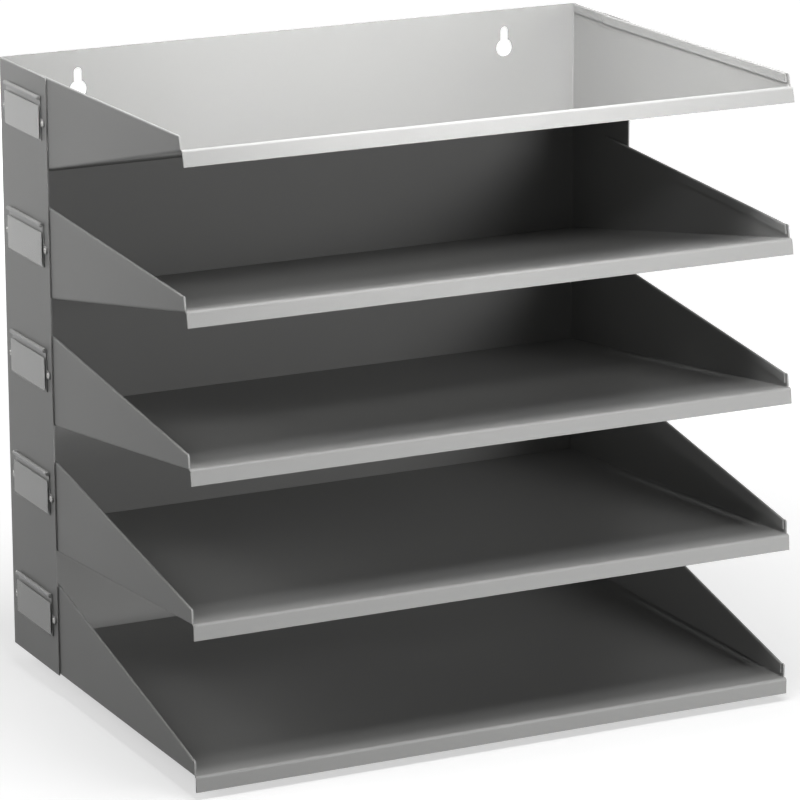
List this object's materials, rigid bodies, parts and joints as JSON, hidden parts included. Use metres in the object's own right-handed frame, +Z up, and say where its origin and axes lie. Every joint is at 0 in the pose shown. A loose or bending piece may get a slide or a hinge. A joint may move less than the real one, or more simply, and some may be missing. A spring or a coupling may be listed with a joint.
{
  "type": "letter tray rack",
  "caption": "Desktop sorting rack of folded sheet steel: open trays fan out from a back panel with side flanges, with clear label pockets on the left flange.",
  "frame": {"origin": "on the desk under the rack, half way across its width and half way along the bottom tray", "axes": "+Z up, +Y towards the back panel, so the trays open towards -Y, and +X to the right seen from the front"},
  "size_m": [0.3475, 0.2451, 0.3389],
  "materials": {
    "grey_paint": "satin grey powder coat",
    "bare_steel": "satin",
    "holder_plastic": "satin grey",
    "clear_plastic": "clear gloss",
    "label_paper": "matte white",
    "foot_rubber": "matte black"
  },
  "bodies": {
    "rack": {"back_panel": "grey_paint", "label_rivets": "bare_steel", "tray_1": "grey_paint", "label_holder_1": "holder_plastic", "label_window_1": "clear_plastic", "tray_2": "grey_paint", "label_holder_2": "holder_plastic", "label_window_2": "clear_plastic", "tray_3": "grey_paint", "label_holder_3": "holder_plastic", "label_window_3": "clear_plastic", "tray_4": "grey_paint", "label_holder_4": "holder_plastic", "label_window_4": "clear_plastic", "tray_5": "grey_paint", "label_holder_5": "holder_plastic", "label_window_5": "clear_plastic", "foot_front_left": "foot_rubber", "foot_rear_left": "foot_rubber", "foot_front_right": "foot_rubber", "foot_rear_right": "foot_rubber"},
    "card_1": {"label_card_1": "label_paper"},
    "card_2": {"label_card_2": "label_paper"},
    "card_3": {"label_card_3": "label_paper"},
    "card_4": {"label_card_4": "label_paper"},
    "card_5": {"label_card_5": "label_paper"}
  },
  "joints": [
    {"name": "card_1_slide", "type": "slide", "parent": "rack", "child": "card_1", "axis": [0, -1, 0], "range_m": [0, 0.0495]},
    {"name": "card_2_slide", "type": "slide", "parent": "rack", "child": "card_2", "axis": [0, -1, 0], "range_m": [0, 0.0495]},
    {"name": "card_3_slide", "type": "slide", "parent": "rack", "child": "card_3", "axis": [0, -1, 0], "range_m": [0, 0.0495]},
    {"name": "card_4_slide", "type": "slide", "parent": "rack", "child": "card_4", "axis": [0, -1, 0], "range_m": [0, 0.0495]},
    {"name": "card_5_slide", "type": "slide", "parent": "rack", "child": "card_5", "axis": [0, -1, 0], "range_m": [0, 0.0495]}
  ]
}
